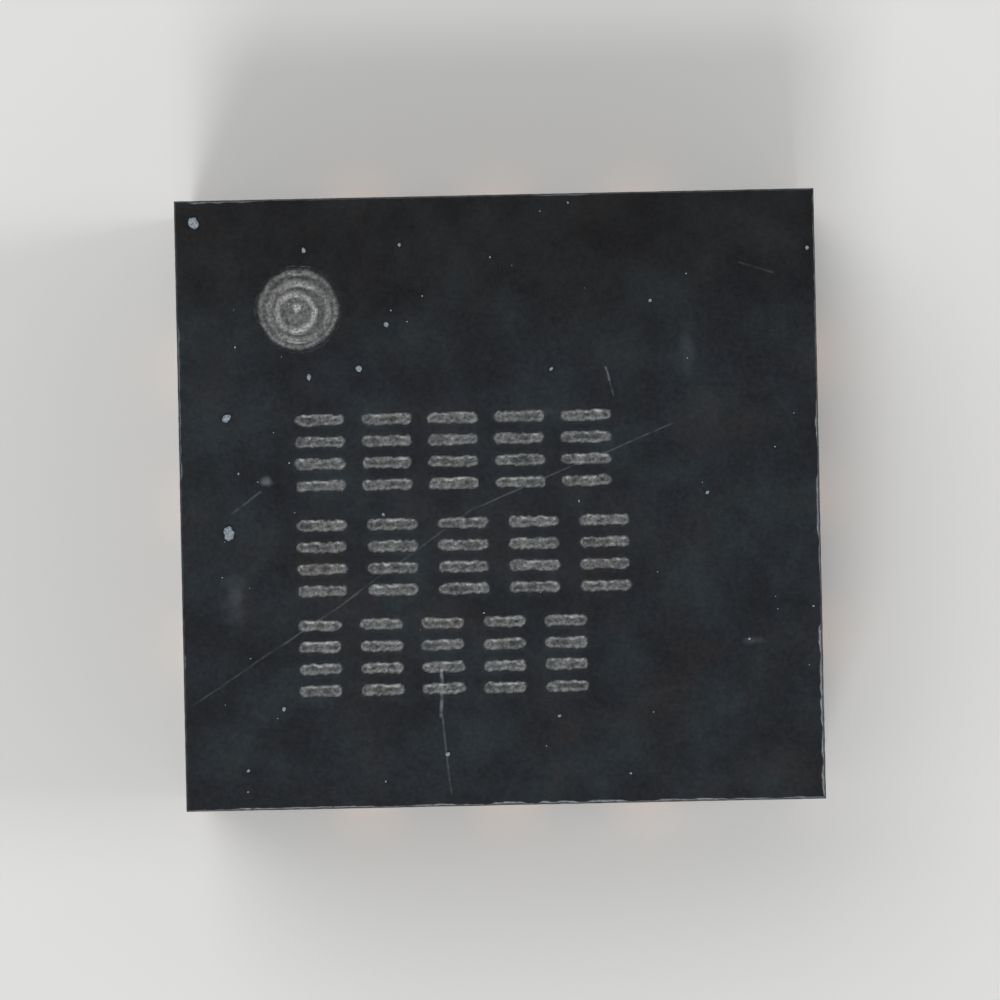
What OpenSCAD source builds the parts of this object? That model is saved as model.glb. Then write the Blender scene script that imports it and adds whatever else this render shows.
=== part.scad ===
// Moulded leadless integrated circuit, cut from its panel by sawing.
// The lands meet the board at Z = 0, the origin is at the middle of the outline, and pin 1 is at -X, +Y.

/* [Body] */
// Length of the moulded body along X
body_x = 2.2; // [1.9:0.05:2.8]
// Width of the moulded body along Y
body_y = 2.1; // [1.85:0.05:2.8]
// Height of the top face above the board
body_z = 0.75; // [0.62:0.01:1]
// How far the metal stands proud of the moulded underside
standoff = 0.02; // [0.01:0.005:0.05]
// Diameter of the pin 1 dot in the top face
dot_d = 0.3; // [0.2:0.02:0.4]
// Depth of the pin 1 dot
dot_depth = 0.012; // [0.01:0.002:0.03]
// Distance of the dot's centre from the left side
dot_from_left = 0.42; // [0.3:0.02:0.6]
// Distance of the dot's centre from the far side
dot_from_far = 0.38; // [0.3:0.02:0.6]

/* [Leadframe] */
// Thickness of the copper sheet
frame_t = 0.2; // [0.15:0.01:0.25]
// Thickness left where the sheet is etched from below
etched_t = 0.1; // [0.06:0.01:0.12]
// How far the etched lip of the paddle stands out from its exposed face
paddle_lip = 0.075; // [0.04:0.005:0.08]
// Length of the paddle's exposed face along X
paddle_x = 1; // [0.9:0.05:1.2]
// Width of the paddle's exposed face along Y
paddle_y = 0.9; // [0.8:0.05:1.1]
// Corner radius that etching leaves
etch_r = 0.05; // [0.02:0.01:0.08]
// Chamfer of the exposed face at the pin 1 corner
pin_one_chamfer = 0.2; // [0.1:0.02:0.3]
// Width of the tie bars that held the paddle in the panel
tie_w = 0.1; // [0.08:0.01:0.12]

/* [Leads] */
// Leads on each side
leads_per_side = 3; // [2:1:3]
// Distance between lead centres
lead_pitch = 0.5; // [0.4:0.02:0.6]
// Width of the exposed land
lead_w = 0.22; // [0.16:0.01:0.27]
// Length of the exposed land from the sawn end to the round tip
lead_l = 0.28; // [0.22:0.02:0.32]
// How far the etched ledge stands out round the land
lead_ledge = 0.04; // [0.02:0.005:0.05]
// Distance from the sawn end to the start of the ledge
ledge_setback = 0.06; // [0.02:0.01:0.1]

/* [Die] */
// Length of the die along X
die_x = 0.8; // [0.65:0.05:0.98]
// Width of the die along Y
die_y = 0.7; // [0.6:0.05:0.88]
// Thickness of the die
die_t = 0.18; // [0.1:0.01:0.22]
// Thickness of the bond line under the die
bond_line = 0.025; // [0.015:0.005:0.04]
// How far the bond line spreads past the die
attach_margin = 0.03; // [0.02:0.005:0.04]
// How far the fillet climbs the sides of the die
fillet_h = 0.05; // [0.02:0.01:0.08]

/* [Wires] */
// Diameter of the bond wire
wire_d = 0.025; // [0.02:0.001:0.03]
// Diameter of the squashed ball on the die
ball_d = 0.056; // [0.046:0.002:0.06]
// Height of the squashed ball
ball_h = 0.012; // [0.008:0.001:0.016]
// Height of the loop above the die
loop_h = 0.11; // [0.09:0.01:0.14]
// Distance from the edge of the die to the centres of its pads
pad_inset = 0.055; // [0.045:0.005:0.07]
// Distance between the centres of the signal pads
pad_pitch = 0.2; // [0.16:0.01:0.22]
// Distance from the etched tip of a lead to the end of its wire
stitch_inset = 0.12; // [0.1:0.01:0.14]
// Length of the flattened end of a wire
stitch_l = 0.04; // [0.03:0.005:0.045]
// Thickness of the flattened end of a wire
stitch_t = 0.008; // [0.006:0.001:0.01]

/* [Hidden] */
$fn = 48;
SIDES = 4;
LEADS = SIDES * leads_per_side;

die_z = frame_t + bond_line;
die_top = die_z + die_t;
// Depth of a cut that is open above
through = 1;
wire_sides = 8;
// Rings along the loop of each wire
loop_steps = 9;
// How far past the edge of the die a loop leans out at least, in wire diameters, so that it clears the edge
edge_lean = 1.2;
// Half the height across the flats of a ring, as a share of the half height across its corners
flat_share = cos(180 / wire_sides);

function two_digits(n) = n < 10 ? str("0", n) : str(n);

// Side 0 is the left one, and the sides and their leads run anticlockwise from pin 1, seen from above
function side_angle(side) = 180 + 90 * side;
function across(side, along_x, along_y) = side % 2 == 0 ? along_x : along_y;
function body_half(side) = across(side, body_x, body_y) / 2;
function die_half(side) = across(side, die_x, die_y) / 2;
function paddle_half(side) = across(side, paddle_x, paddle_y) / 2 + paddle_lip;
function place_in_row(index, count, pitch) = (index - (count - 1) / 2) * pitch;

module rounded_rectangle(x, y, r) {
    for (sx = [-1, 1]) {
        for (sy = [-1, 1]) {
            translate([sx * (x / 2 - r), sy * (y / 2 - r)]) circle(r = r);
        }
    }
    square([x, y - 2 * r], center = true);
    square([x - 2 * r, y], center = true);
}

// The block, as the saw leaves it, with room for all that it is moulded round
module mould_body() {
    color("#2a2c2f")
    difference() {
        translate([-body_x / 2, -body_y / 2, standoff]) cube([body_x, body_y, body_z - standoff]);
        translate([dot_from_left - body_x / 2, body_y / 2 - dot_from_far, body_z - dot_depth])
            cylinder(d = dot_d, h = through);
        paddle_shape();
        attach_shape();
        die_shape();
        for (i = [0 : LEADS - 1]) lead_shape(i);
        for (i = [0 : LEADS - 1]) bond_wire_shape(i);
        for (i = [0 : SIDES - 1]) ground_wire_shape(i);
    }
}

// The exposed face keeps the full sheet, and the lip and the tie bars are etched away from below
module paddle_shape() {
    linear_extrude(frame_t) difference() {
        rounded_rectangle(paddle_x, paddle_y, etch_r);
        translate([-paddle_x / 2, paddle_y / 2]) rotate(45)
            square([2 * paddle_x, sqrt(2) * pin_one_chamfer], center = true);
    }
    translate([0, 0, frame_t - etched_t]) linear_extrude(etched_t) {
        rounded_rectangle(paddle_x + 2 * paddle_lip, paddle_y + 2 * paddle_lip, etch_r);
        intersection() {
            square([body_x, body_y], center = true);
            for (turn = [-1, 1]) {
                rotate(turn * atan2(body_y, body_x)) square([2 * body_x, tie_w], center = true);
            }
        }
    }
}

module die_paddle() {
    color("#b87a55") paddle_shape();
}

// A land with a full round tip, reaching inwards from the sawn end
module lead_outline(start, length, width) {
    translate([-length, 0]) circle(d = width);
    translate([-length, -width / 2]) square([length - start, width]);
}

module lead_shape(index) {
    side = floor(index / leads_per_side);
    row_place = place_in_row(index % leads_per_side, leads_per_side, lead_pitch);
    round_l = lead_l - lead_w / 2;
    rotate(side_angle(side)) translate([body_half(side), row_place]) {
        linear_extrude(frame_t) lead_outline(0, round_l, lead_w);
        translate([0, 0, frame_t - etched_t]) linear_extrude(etched_t)
            lead_outline(ledge_setback, round_l, lead_w + 2 * lead_ledge);
    }
}

module lead(index) {
    color("#c08560") lead_shape(index);
}

// The bond line, and the fillet that the weight of the die squeezes up its sides
module attach_shape() {
    foot_x = die_x + 2 * attach_margin;
    foot_y = die_y + 2 * attach_margin;
    crest = attach_margin / 5;
    difference() {
        hull() {
            translate([-foot_x / 2, -foot_y / 2, frame_t]) cube([foot_x, foot_y, bond_line / 2]);
            translate([-die_x / 2 - crest, -die_y / 2 - crest, die_z])
                cube([die_x + 2 * crest, die_y + 2 * crest, fillet_h]);
        }
        die_shape();
    }
}

module die_attach() {
    color("#c9cbd0") attach_shape();
}

module die_shape() {
    translate([-die_x / 2, -die_y / 2, die_z]) cube([die_x, die_y, die_t]);
}

module die() {
    color("#5a606c") die_shape();
}

// One ring of a wire is [distance, height, half width, half depth, slope of the wire there].
// The foot is the squashed ball with the cone that the bonding tool leaves on it
function ball_rings(foot) = [
    [0, foot, 0.44 * ball_d, 0.44 * ball_d, 90],
    [0, foot + ball_h / 4, ball_d / 2, ball_d / 2, 90],
    [0, foot + 0.8 * ball_h, ball_d / 2, ball_d / 2, 90],
    [0, foot + 1.2 * ball_h, 0.6 * wire_d, 0.6 * wire_d, 90],
    [0, foot + 3 * ball_h, wire_d / 2, wire_d / 2, 90]
];

// From the neck the wire rises, bends over and comes down on its heel along one cubic curve
function curve(p, t) =
    pow(1 - t, 3) * p[0] + 3 * pow(1 - t, 2) * t * p[1] + 3 * (1 - t) * pow(t, 2) * p[2] + pow(t, 3) * p[3];
function curve_way(p, t) =
    pow(1 - t, 2) * (p[1] - p[0]) + 2 * (1 - t) * t * (p[2] - p[1]) + pow(t, 2) * (p[3] - p[2]);
function loop_rings(span, foot, level) =
    let (
        neck = [0, foot + 3 * ball_h],
        rise = [0, foot + 1.5 * loop_h],
        lean = [max(0.35 * span, pad_inset + edge_lean * wire_d), foot + 1.3 * loop_h],
        heel = [span - stitch_l, level + wire_d / 2]
    )
    [
        for (k = [1 : loop_steps])
            let (
                t = k / (loop_steps + 1),
                spot = curve([neck, rise, lean, heel], t),
                way = curve_way([neck, rise, lean, heel], t)
            )
            [spot.x, spot.y, wire_d / 2, wire_d / 2, atan2(way.y, way.x)]
    ];

// The tool flattens the end on the metal: its underside lies in the plane of the frame
function stitch_rings(span, level) = [
    [span - stitch_l, level + wire_d / 2 * flat_share, 0.6 * wire_d, wire_d / 2, 0],
    [span - 0.6 * stitch_l, level + stitch_t * flat_share, wire_d, stitch_t, 0],
    [span, level + stitch_t / 2 * flat_share, 0.8 * wire_d, stitch_t / 2, 0]
];

function ring_points(ring) = [
    for (k = [0 : wire_sides - 1])
        let (t = (k + 0.5) * 360 / wire_sides, wide = ring[2] * cos(t), deep = ring[3] * sin(t))
        [ring[0] - deep * sin(ring[4]), wide, ring[1] + deep * cos(ring[4])]
];

module wire(from, to, foot, level) {
    span = norm(to - from);
    rings = concat(ball_rings(foot), loop_rings(span, foot, level), stitch_rings(span, level));
    last = (len(rings) - 1) * wire_sides;
    skin = [
        for (r = [0 : len(rings) - 2], k = [0 : wire_sides - 1])
            let (a = r * wire_sides + k, b = r * wire_sides + (k + 1) % wire_sides)
            [b, a, a + wire_sides, b + wire_sides]
    ];
    translate(from) rotate(atan2(to.y - from.y, to.x - from.x))
        polyhedron(
            points = [for (ring = rings) each ring_points(ring)],
            faces = concat(
                skin,
                [[for (k = [0 : wire_sides - 1]) k]],
                [[for (k = [wire_sides - 1 : -1 : 0]) last + k]]
            )
        );
}

module bond_wire_shape(index) {
    side = floor(index / leads_per_side);
    row_index = index % leads_per_side;
    lead_tip = body_half(side) - lead_l - lead_ledge;
    rotate(side_angle(side)) wire(
        [die_half(side) - pad_inset, place_in_row(row_index, leads_per_side, pad_pitch)],
        [lead_tip + stitch_inset, place_in_row(row_index, leads_per_side, lead_pitch)],
        die_top,
        frame_t
    );
}

module bond_wire(index) {
    color("#d9a441") bond_wire_shape(index);
}

// A ground wire leaves from between two signal pads and ends in the middle of the paddle's free border
module ground_wire_shape(side) {
    border_start = die_half(side) + attach_margin;
    border_middle = (border_start + paddle_half(side)) / 2;
    rotate(side_angle(side)) wire(
        [die_half(side) - pad_inset, pad_pitch / 2],
        [border_middle + stitch_l / 2, pad_pitch / 2],
        die_top,
        frame_t
    );
}

module ground_wire(side) {
    color("#d9a441") ground_wire_shape(side);
}

mould_body();
die_paddle();
die_attach();
die();
for (i = [0 : LEADS - 1]) {
    lead(i);
    bond_wire(i);
}
for (i = [0 : SIDES - 1]) {
    ground_wire(i);
}
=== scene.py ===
"""Looks of a moulded leadless integrated circuit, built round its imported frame.

The frame is in metres, with the lands on Z = 0 and pin 1 at -X, +Y. The sizes written here are millimetres,
and MM turns them into metres where a mesh or a node takes them.
"""

import logging
import math
from collections.abc import Callable, Sequence
from dataclasses import dataclass, field
from enum import Enum, IntEnum
from functools import partial

import bmesh
import bpy
import numpy as np
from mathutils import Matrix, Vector, noise


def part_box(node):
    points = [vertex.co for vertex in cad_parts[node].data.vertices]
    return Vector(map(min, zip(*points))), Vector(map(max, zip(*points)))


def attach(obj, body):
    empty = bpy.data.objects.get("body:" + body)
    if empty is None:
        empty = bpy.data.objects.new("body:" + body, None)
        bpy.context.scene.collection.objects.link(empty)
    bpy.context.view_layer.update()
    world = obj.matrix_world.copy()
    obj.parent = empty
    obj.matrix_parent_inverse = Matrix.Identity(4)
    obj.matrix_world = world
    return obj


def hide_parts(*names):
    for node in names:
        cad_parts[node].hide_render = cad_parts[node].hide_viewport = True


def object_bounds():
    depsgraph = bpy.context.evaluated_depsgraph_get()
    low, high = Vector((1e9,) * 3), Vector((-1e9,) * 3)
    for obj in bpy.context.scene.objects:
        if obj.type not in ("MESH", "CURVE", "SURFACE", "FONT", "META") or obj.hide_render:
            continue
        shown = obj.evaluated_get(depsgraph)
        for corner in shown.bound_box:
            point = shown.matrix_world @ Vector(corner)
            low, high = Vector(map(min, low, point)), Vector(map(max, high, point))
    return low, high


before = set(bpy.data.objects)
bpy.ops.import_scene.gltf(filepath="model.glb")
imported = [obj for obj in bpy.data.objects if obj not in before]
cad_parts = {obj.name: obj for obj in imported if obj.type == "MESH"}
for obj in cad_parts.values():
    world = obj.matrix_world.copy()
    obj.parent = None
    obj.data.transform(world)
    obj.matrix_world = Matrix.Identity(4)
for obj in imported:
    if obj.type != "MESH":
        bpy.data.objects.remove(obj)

Array, Object = np.ndarray, bpy.types.Object
Tree, Node, Socket = bpy.types.NodeTree, bpy.types.Node, bpy.types.NodeSocket
# What adds a node to one tree, and what the inputs of a node get by name
Add, Inputs = Callable[..., Node], dict[str, object]

MM = 0.001
CAD_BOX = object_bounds()
BODY = "root"
LOG = logging.getLogger("integrated_circuit")

# Places nearer than this, in millimetres, are the same one
TINY = 1e-6
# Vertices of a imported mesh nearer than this, in metres, are one vertex
WELD = 1e-8
# A packed face nearer to a wall's plane than this, in metres, is part of the wall
ON_WALL = 1e-7
# Faces that meet at more than this angle have a sharp edge
SHARP = math.radians(40)
# The range that a noise texture keeps to nearly everywhere
NOISE = (0.3, 0.7)


class Edge(IntEnum):
    """A top edge of the body, counted anticlockwise from the near one."""

    NEAR = 0
    RIGHT = 1
    FAR = 2
    LEFT = 3


class Skin(IntEnum):
    """Material slot of a part of the body's surface."""

    TOP = 0
    SAWN = 1
    INNER = 2


class Slot(Enum):
    """Material slot of the record, named for what a piece is made of."""

    EPOXY = "moulding_compound"
    COPPER = "leadframe_copper"


def linear(code: str) -> tuple[float, float, float, float]:
    """Turns an sRGB hex colour into linear light.

    Args:
        code: The colour, as six hex digits after a hash sign.

    Returns:
        Red, green, blue and a full alpha.
    """
    shares = [int(code[k : k + 2], 16) / 255 for k in (1, 3, 5)]
    red, green, blue = [s / 12.92 if s <= 0.04045 else ((s + 0.055) / 1.055) ** 2.4 for s in shares]
    return red, green, blue, 1.0


def scale_for(size: float) -> float:
    """Gives the texture scale at which one repeat of a pattern is that many millimetres wide."""
    return 1 / (size * MM)


def add_node(tree: Tree, kind: str, inputs: Sequence | Inputs = (), **settings: object) -> Node:
    """Adds a shader node with its settings, values and links.

    A TexNoise takes a place, a scale, its detail and its roughness. A MapRange takes a value, the range that
    it comes from and the range that it goes to, which is 0 to 1 if not given. A Mix takes a share, what
    stands for 0 and what stands for 1.

    Args:
        tree: The node tree that it goes into.
        kind: The node's type.
        inputs: For each input, in order or by name, a number, a hex colour, a socket, or a node whose first
            output is taken. Inputs and outputs that its settings switch off don't count.
        settings: Its properties.

    Returns:
        The new node.
    """
    node = tree.nodes.new("ShaderNode" + kind)
    for name, value in settings.items():
        setattr(node, name, value)
    sockets = [socket for socket in node.inputs if socket.enabled]
    if isinstance(inputs, dict):
        sockets, inputs = [node.inputs[name] for name in inputs], inputs.values()
    for socket, value in zip(sockets, inputs):
        if isinstance(value, Node):
            value = next(output for output in value.outputs if output.enabled)
        if isinstance(value, Socket):
            tree.links.new(value, socket)
        else:
            socket.default_value = linear(value) if isinstance(value, str) else value
    return node


def ease(value: Array, start: float, end: float) -> Array:
    """Eases from 0 at start to 1 at end, which may be the lower one."""
    share = np.clip((value - start) / (end - start), 0, 1)
    return share * share * (3 - 2 * share)


def grain(x: Array, y: Array, reach: float, size: float, seed: int) -> Array:
    """Reads a smooth random field over the top face, the same on each run.

    Args:
        x: Places along X.
        y: Places along Y.
        reach: How far the field goes from 0, up and down.
        size: Width of one grain.
        seed: Start of its random numbers.

    Returns:
        The field at those places.
    """
    count = 256  # Grains after which the field repeats
    table = np.random.default_rng(seed).uniform(-1, 1, (count, count))
    u, v = x / size, y / size
    column, row = np.floor(u).astype(int), np.floor(v).astype(int)
    s, t = u - column, v - row
    s, t = s * s * (3 - 2 * s), t * t * (3 - 2 * t)
    left, right, low, high = column % count, (column + 1) % count, row % count, (row + 1) % count
    near = table[low, left] * (1 - s) + table[low, right] * s
    far = table[high, left] * (1 - s) + table[high, right] * s
    return reach * (near * (1 - t) + far * t)


@dataclass(frozen=True)
class Scratch:
    """A hairline scratch in the top face, straight from start to end."""

    start: tuple[float, float]
    end: tuple[float, float]
    width: float
    strength: float  # How far it lightens the epoxy, from 0 to 1
    bend: float = 0.2  # Distance between its bends
    drift: float = 0.8  # How far the bends go to either side, as a share of its width
    taper: float = 0.2  # Share of its length over which it runs out
    skip: float = 0.035  # Distance between the places where it fades
    hold: float = 0.3  # Share of its strength that it keeps there

    def mask(self, add: Add, place: Socket) -> Node:
        """Marks the scratch.

        Args:
            add: Adds a node to the material.
            place: The point in object space.

        Returns:
            The node whose output is the scratch's strength along it and 0 off it.
        """
        first, last, width = Vector(self.start) * MM, Vector(self.end) * MM, self.width * MM
        way, half = (last - first).normalized(), (last - first).length / 2
        offset = add("VectorMath", (place, ((first + last) / 2).to_3d()), operation="SUBTRACT")
        along = add("VectorMath", (offset, way.to_3d()), operation="DOT_PRODUCT")
        aside = add("VectorMath", (offset, (-way.y, way.x, 0)), operation="DOT_PRODUCT")
        shake = add("TexNoise", (place, scale_for(self.bend)))
        shaken = add("Math", (shake, 2 * self.drift * width, aside), operation="MULTIPLY_ADD")
        centred = add("Math", (shaken, self.drift * width), operation="SUBTRACT")
        distance = add("Math", (centred,), operation="ABSOLUTE")
        line = add("MapRange", (distance, width / 2, width / 8), interpolation_type="SMOOTHSTEP")
        reach = add("Math", (along,), operation="ABSOLUTE")
        body = add("MapRange", (reach, half, half * (1 - self.taper)), interpolation_type="SMOOTHSTEP")
        skips = add("TexNoise", (place, scale_for(self.skip), 2.0))
        hold = add("MapRange", (skips, 0.35, 0.6, self.hold * self.strength, self.strength))
        whole = add("Math", (line, body), operation="MULTIPLY")
        return add("Math", (whole, hold), operation="MULTIPLY")


@dataclass(frozen=True)
class Smudge:
    """A faint pale patch on the top face, where something has rubbed it."""

    centre: tuple[float, float]
    size: tuple[float, float]  # Half its width and half its height
    strength: float  # How far it lightens the epoxy, from 0 to 1
    lump: float = 0.04  # Width of the lumps in its outline

    def mask(self, add: Add, place: Socket) -> Node:
        """Marks the patch.

        Args:
            add: Adds a node to the material.
            place: The point in object space.

        Returns:
            The node whose output is the patch's strength inside it and 0 outside.
        """
        centre, size = Vector(self.centre) * MM, Vector(self.size) * MM
        around = {"Vector": place, "Location": centre.to_3d(), "Scale": (*size, 1)}
        local = add("Mapping", around, vector_type="TEXTURE")
        distance = add("VectorMath", (local,), operation="LENGTH")
        lumps = add("TexNoise", (place, scale_for(self.lump), 3.0))
        # The lumps add 0.6 on average, so that the patch has faded out at about its size
        ragged = add("Math", (lumps, 1.2, distance), operation="MULTIPLY_ADD")
        return add("MapRange", (ragged, 1.6, 0.5, 0.0, self.strength), interpolation_type="SMOOTHSTEP")


# The hairline across the face, the upright one through the lower rows, and the short ones by the edges
SCRATCHES = (
    Scratch((-1.09, -0.70), (-0.70, -0.445), 0.009, 0.15),
    Scratch((-0.78, -0.50), (-0.48, -0.30), 0.008, 0.27),
    Scratch((-0.55, -0.345), (-0.07, -0.01), 0.008, 0.20),
    Scratch((-0.11, -0.035), (0.63, 0.265), 0.008, 0.24),
    Scratch((-0.214, -0.56), (-0.217, -0.75), 0.017, 0.62),
    Scratch((-0.214, -0.72), (-0.186, -1.02), 0.010, 0.25),
    Scratch((0.372, 0.455), (0.385, 0.40), 0.012, 0.60),
    Scratch((0.380, 0.425), (0.397, 0.345), 0.009, 0.30),
    Scratch((-0.93, -0.03), (-0.815, 0.05), 0.010, 0.24),
    Scratch((0.83, 0.80), (0.96, 0.76), 0.010, 0.15),
)
SMUDGES = (
    Smudge((-0.917, -0.32), (0.065, 0.12), 0.13),
    Smudge((-0.802, 0.08), (0.032, 0.023), 0.5),
    Smudge((0.655, 0.51), (0.035, 0.13), 0.08),
    Smudge((0.16, 0.30), (0.09, 0.02), 0.08),
    Smudge((0.86, -0.50), (0.05, 0.02), 0.15),
)


@dataclass(frozen=True)
class Finish:
    """One surface finish, made as a node material named for the real one and for how its surface was made."""

    name: str
    roughness: float
    metallic: float = 0.0
    ior: float = 1.5

    def make(self) -> bpy.types.Material:
        """Makes the material.

        Returns:
            The material, with its patterns.
        """
        material = bpy.data.materials.new(self.name)
        material.use_nodes = True
        tree = material.node_tree
        tree.nodes.clear()
        add = partial(add_node, tree)
        plain = {"Roughness": self.roughness, "Metallic": self.metallic, "IOR": self.ior}
        add("OutputMaterial", (add("BsdfPrincipled", plain | self.paint(add)),))
        return material

    def paint(self, add: Add) -> Inputs:
        """Adds the patterns of this finish by add, and returns what the shader's inputs get from them."""
        raise NotImplementedError


@dataclass(frozen=True)
class MouldedEpoxy(Finish):
    """Silica-filled epoxy as the mould leaves it: satin, near black, clouded, with a fine even grain."""

    dark: str = "#1b1e23"
    cool: str = "#1c2429"  # Where the carbon black is thinner
    warm: str = "#222124"  # Where wax has come to the surface
    far_edge_shade: str = "#121213"  # Painted shade along the far edge
    lasered: str = "#cdcecb"  # Foamed by the laser
    burnt: str = "#828385"  # In the pores of that foam
    broken: str = "#8b949b"  # Pale where the silica shows in breaks and scratches; along the broken edges it is partly a painted highlight
    cloud: float = 0.2  # Width of the clouds
    drift: float = 0.34  # Width of the drifts of wax
    strip: float = 0.45  # Width of the painted shade along the far edge
    mottle: float = 0.014  # Width of the mould's grain
    foam: float = 0.010  # Width of the pores that the laser leaves
    relief: float = 0.0025  # Height of the grain
    glassy: float = 0.19  # Roughness of the lasered epoxy, whose silica has melted
    marked: bool = True  # Whether it carries the marking and the wear, as the top face does

    def paint(self, add: Add) -> Inputs:
        """Adds the clouds, the grain and a painted shade along the far edge, and on the top face the laser's
        foam and the wear.

        Args:
            add: Adds a node to the material.

        Returns:
            What the shader's inputs get from them.
        """
        place = add("TexCoord").outputs["Object"]
        clouds = add("TexNoise", (place, scale_for(self.cloud), 4.0, 0.6))
        drifting = {"Vector": place, "Scale": scale_for(self.drift), "Detail": 5.0, "Roughness": 0.6}
        drifts = add("TexNoise", drifting | {"Distortion": 0.6})
        strip, far = self.strip * MM, CAD_BOX[1].y
        point = add("SeparateXYZ", (place,))
        # Painted shade: the epoxy darkens towards the far edge, over a border that wanders with the drifts
        wander = add("Math", (drifts, strip, point.outputs["Y"]), operation="MULTIPLY_ADD")
        border = (far - strip, far + strip / 3, 0.0, 0.8)
        edge = add("MapRange", (wander, *border), interpolation_type="SMOOTHSTEP")
        cool_share, warm_share = add("MapRange", (clouds, 0.42, 0.64)), add("MapRange", (drifts, 0.48, 0.68))
        colour = self.dark
        for share, tone in ((cool_share, self.cool), (warm_share, self.warm), (edge, self.far_edge_shade)):
            colour = add("Mix", (share, colour, tone), data_type="RGBA")
        mottle = add("TexNoise", (place, scale_for(self.mottle), 3.0))
        fleck = add("MapRange", (mottle, *NOISE, 0.72, 1.28))
        colour = add("Mix", (1.0, colour, fleck), data_type="RGBA", blend_type="MULTIPLY")
        rough = add("MapRange", (clouds, *NOISE, self.roughness - 0.05, self.roughness + 0.06))
        height = add("Math", (mottle, 0.5), operation="MULTIPLY")
        if self.marked:
            colour, rough, height = self.mark(add, place, colour, rough, height)
        bump = add("Bump", {"Strength": 0.6, "Distance": self.relief * MM, "Height": height})
        return {"Base Color": colour, "Roughness": rough, "Normal": bump}

    def mark(
        self, add: Add, place: Socket, colour: Node, rough: Node, height: Node
    ) -> tuple[Node, Node, Node]:
        """Lays the laser's foam, the scratches, the smudges and the broken edges, whose pale lips are partly
        a painted highlight, over the plain epoxy.

        Args:
            add: Adds a node to the material.
            place: The point in object space.
            colour: The plain epoxy's colour.
            rough: The plain epoxy's roughness.
            height: The plain epoxy's fine relief.

        Returns:
            The colour, the roughness and the relief with all of them.
        """
        foam = add("TexNoise", (place, scale_for(self.foam), 3.0, 0.65))
        foamed = add("Mix", (add("MapRange", (foam, 0.38, 0.6)), self.burnt, self.lasered), data_type="RGBA")
        laser = add("Attribute", attribute_name="laser").outputs["Fac"]
        # The chip attribute paints the broken edges pale: bare silica, and a painted highlight along their
        # lips
        chip = add("Attribute", attribute_name="chip").outputs["Fac"]
        rubbed = chip
        for wear in SCRATCHES + SMUDGES:
            rubbed = add("Math", (rubbed, wear.mask(add, place)), operation="MAXIMUM")
        grit = add("MapRange", (foam, 0.3, 0.65, 0.45))
        worn = add("Math", (rubbed, grit), operation="MULTIPLY")
        for share, tone in ((laser, foamed), (worn, self.broken)):
            colour = add("Mix", (share, colour, tone), data_type="RGBA")
        touched = add("Math", (laser, chip), operation="MAXIMUM")
        pitted = add("Math", (foam, touched), operation="MULTIPLY")
        relief = add("Math", (pitted, 0.25, height), operation="MULTIPLY_ADD")
        return colour, add("Mix", (laser, rough, self.glassy)), relief


@dataclass(frozen=True)
class SawnEpoxy(Finish):
    """Silica-filled epoxy cut by a diamond saw: duller and greyer, with cut filler and level saw lines.

    Its filler is drawn coarser than the real balls, which are too fine to show.
    """

    resin: str = "#26282a"
    smear: str = "#323437"  # Where the blade has smeared the resin
    silica: str = "#66696a"
    line: float = 0.012  # Distance between saw lines
    stretch: tuple[float, float, float] = (0.03, 0.03, 1.0)  # Scale that draws them out level
    tilt: tuple[float, float, float] = (0.012, 0.009, 0.0)  # How far the saw was out of level, in radians
    filler: float = 0.034  # Distance between the larger filler balls
    fines: float = 0.011  # Distance between the finer ones
    relief: float = 0.003  # Height of the saw lines

    def paint(self, add: Add) -> Inputs:
        """Adds the saw lines and the cut filler.

        Args:
            add: Adds a node to the material.

        Returns:
            What the shader's inputs get from them.
        """
        place = add("TexCoord").outputs["Object"]
        level = add("Mapping", {"Vector": place, "Scale": self.stretch, "Rotation": self.tilt})
        lines = add("TexNoise", (level, scale_for(self.line), 4.0, 0.7))
        colour = add("Mix", (add("MapRange", (lines, 0.35, 0.7)), self.resin, self.smear), data_type="RGBA")
        for spacing, largest, show in ((self.fines, 0.42, 0.42), (self.filler, 0.36, 0.8)):
            balls = add("TexVoronoi", {"Vector": place, "Scale": scale_for(spacing)})
            draws = add("TexWhiteNoise", (balls.outputs["Color"],))
            tones = add("SeparateColor", (draws.outputs["Color"],))
            reach = add("MapRange", (tones, 0.35, 1.0, 0.0, largest))
            gap = add("Math", (reach, balls), operation="SUBTRACT")
            clear = add("MapRange", (tones.outputs["Green"], 0.0, 1.0, 0.2 * show, show))
            disc = add("Math", (add("MapRange", (gap, 0.0, 0.05)), clear), operation="MULTIPLY")
            colour = add("Mix", (disc, colour, self.silica), data_type="RGBA")
        rough = add("MapRange", (lines, *NOISE, self.roughness - 0.08, self.roughness + 0.1))
        bump = add("Bump", {"Strength": 0.6, "Distance": self.relief * MM, "Height": lines})
        return {"Base Color": colour, "Roughness": rough, "Normal": bump}


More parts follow.
